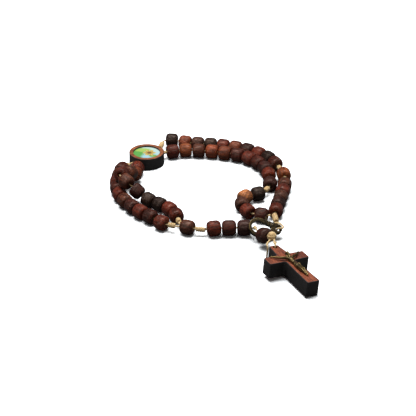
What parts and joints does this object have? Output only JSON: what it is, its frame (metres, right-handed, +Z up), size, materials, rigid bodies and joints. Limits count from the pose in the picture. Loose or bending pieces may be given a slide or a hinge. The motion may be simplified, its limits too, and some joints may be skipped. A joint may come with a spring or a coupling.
{
  "type": "rosary bracelet",
  "caption": "Closed rosary bracelet of dark wooden beads on waxed cord, with a round wooden medallion, a wooden cross with a cast figure and a small lever clasp.",
  "frame": {"origin": "middle of the outline's bottom, on the table it lies on", "axes": "+Z up from the table, +Y from the cross at the front to the medallion at the back, +X to the right"},
  "size_m": [0.0792, 0.1238, 0.0117],
  "materials": {
    "bead_wood": "polished, each bead of its own dark red-brown",
    "cut_wood": "satin face with dark burnt edges",
    "picture": "clear gloss over a coloured print",
    "antique_brass": "antiqued, dark in the hollows",
    "cord": "waxed twist"
  },
  "bodies": {
    "bracelet": {"medallion": "cut_wood", "medallion_picture": "picture", "cross": "cut_wood", "corpus": "antique_brass", "clasp_body": "antique_brass", "decade_right_back": "bead_wood", "decade_right_front": "bead_wood", "decade_left_outer": "bead_wood", "decade_left_inner": "bead_wood", "half_decade_back": "bead_wood", "half_decade_front": "bead_wood", "tail_beads": "bead_wood", "single_bead_back": "bead_wood", "single_bead_front": "bead_wood", "joint_bead": "bead_wood", "pendant_bead": "bead_wood", "thread_right_back": "cord", "thread_right_front": "cord", "thread_left_outer": "cord", "thread_left_inner": "cord", "thread_tail": "cord", "cross_cord": "cord", "clasp_cord": "cord", "knots_right_back": "cord", "knots_right_front": "cord", "knots_left_outer": "cord", "knots_left_inner": "cord", "knots_tail": "cord", "pendant_knot": "cord", "clasp_knot": "cord"},
    "lever": {"clasp_lever": "antique_brass"}
  },
  "joints": [
    {"name": "clasp_lever_hinge", "type": "hinge", "parent": "bracelet", "child": "lever", "pos_m": [0.02377, -0.01772, 0.00468], "axis": [0.1734, -0.6008, 0.7803], "range_deg": [0, 14], "stiffness_Nm_per_rad": 0.0004}
  ]
}
